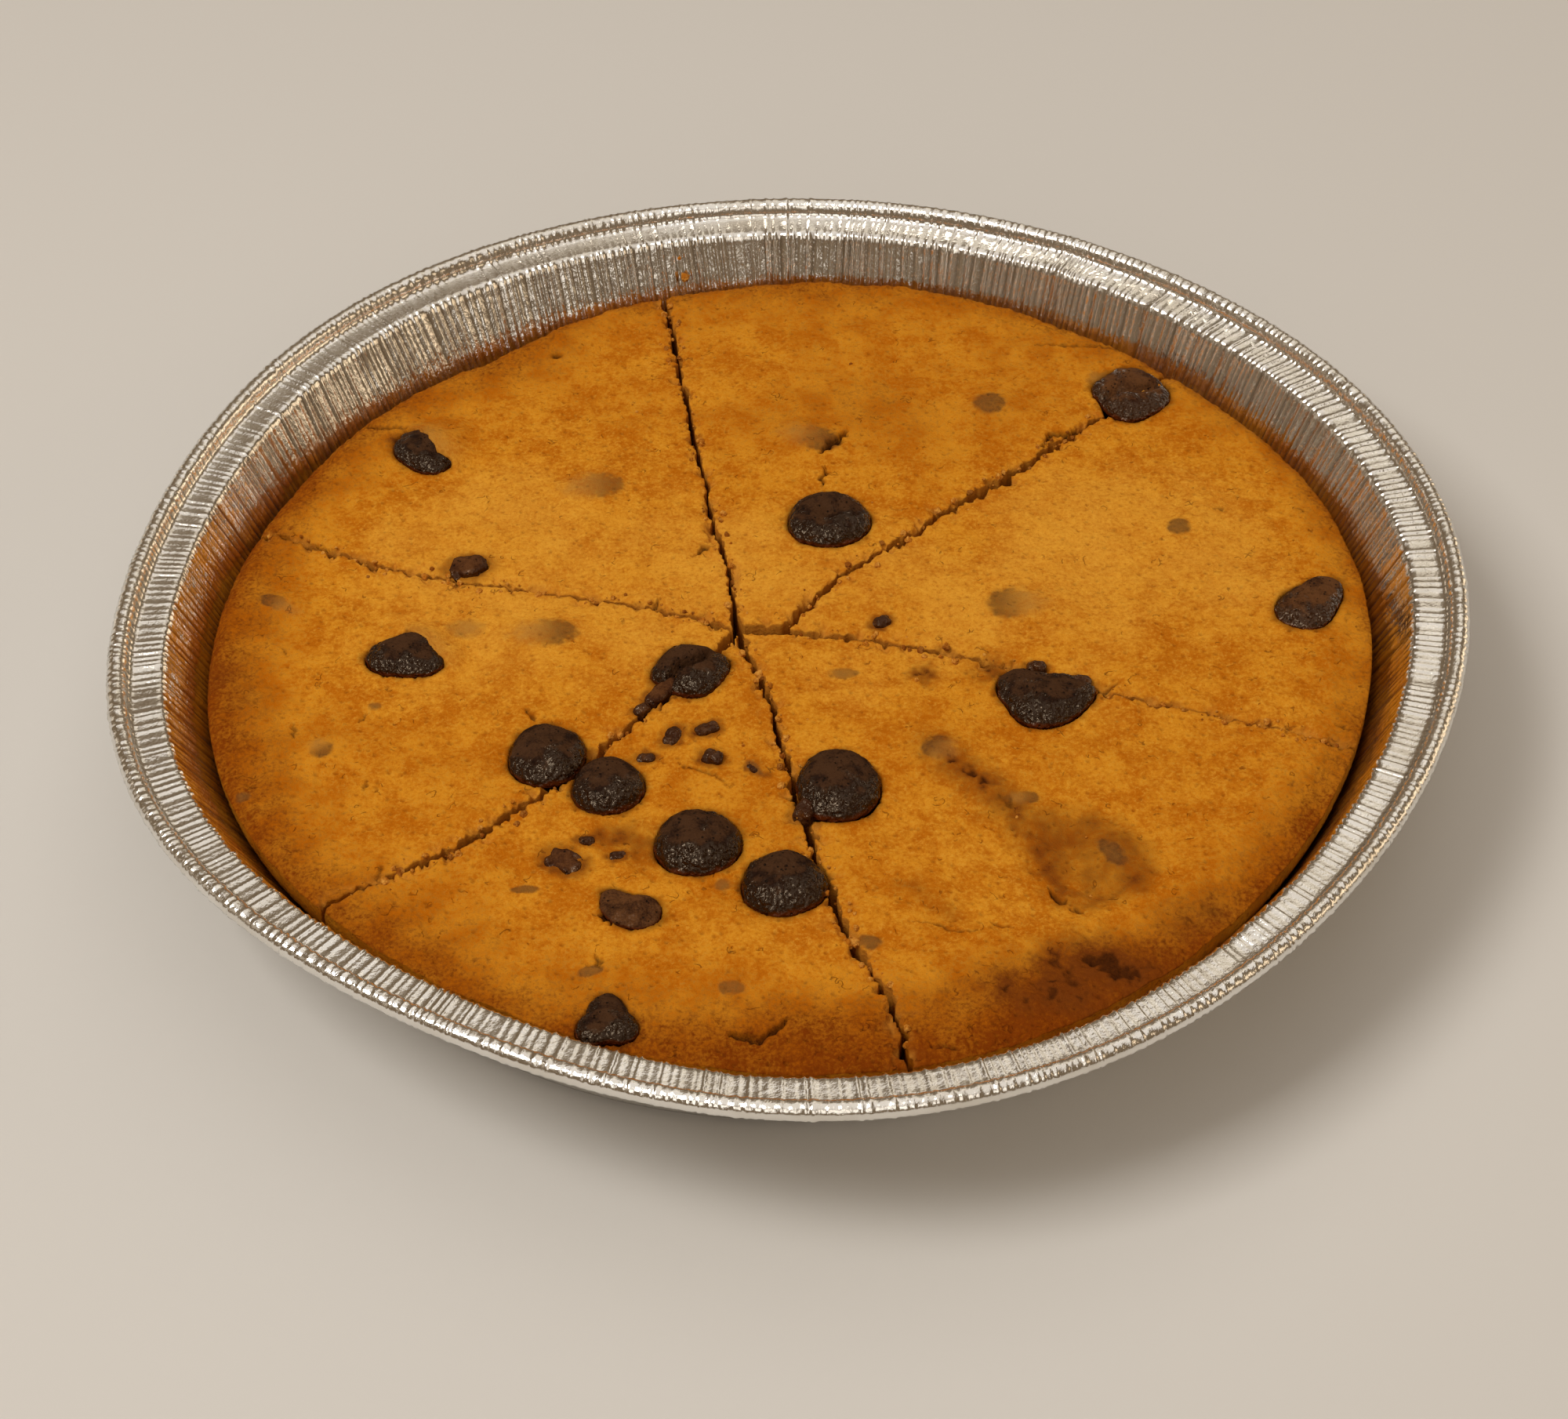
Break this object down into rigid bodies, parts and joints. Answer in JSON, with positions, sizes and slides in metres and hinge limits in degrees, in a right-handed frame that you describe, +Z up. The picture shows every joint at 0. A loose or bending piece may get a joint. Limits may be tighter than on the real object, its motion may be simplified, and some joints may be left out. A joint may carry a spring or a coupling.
{
  "type": "chocolate chip cookie",
  "caption": "Thick round chocolate chip cookie, cut into wedge slices that keep its round shape, in the pleated foil pan it was baked in.",
  "frame": {"origin": "centre of the pan's flat underside, on the surface it stands on", "axes": "+Z up, out of the open pan; +Y away from the side shown nearest; +X to the right of that view"},
  "size_m": [0.2146, 0.2153, 0.0324],
  "materials": {
    "foil": "bright pleated foil",
    "dough": "baked crumb",
    "chocolate": "baked dark chocolate, half gloss"
  },
  "bodies": {
    "root": {"pan": "foil", "slice_1": "dough", "slice_2": "dough", "slice_3": "dough", "slice_4": "dough", "slice_5": "dough", "slice_6": "dough", "chip_01": "chocolate", "chip_02": "chocolate", "chip_03": "chocolate", "chip_04": "chocolate", "chip_05": "chocolate", "chip_06": "chocolate", "chip_07": "chocolate", "chip_08": "chocolate", "chip_09": "chocolate", "chip_10": "chocolate", "chip_11": "chocolate", "chip_12": "chocolate", "chip_13": "chocolate", "chip_14": "chocolate"}
  },
  "joints": []
}
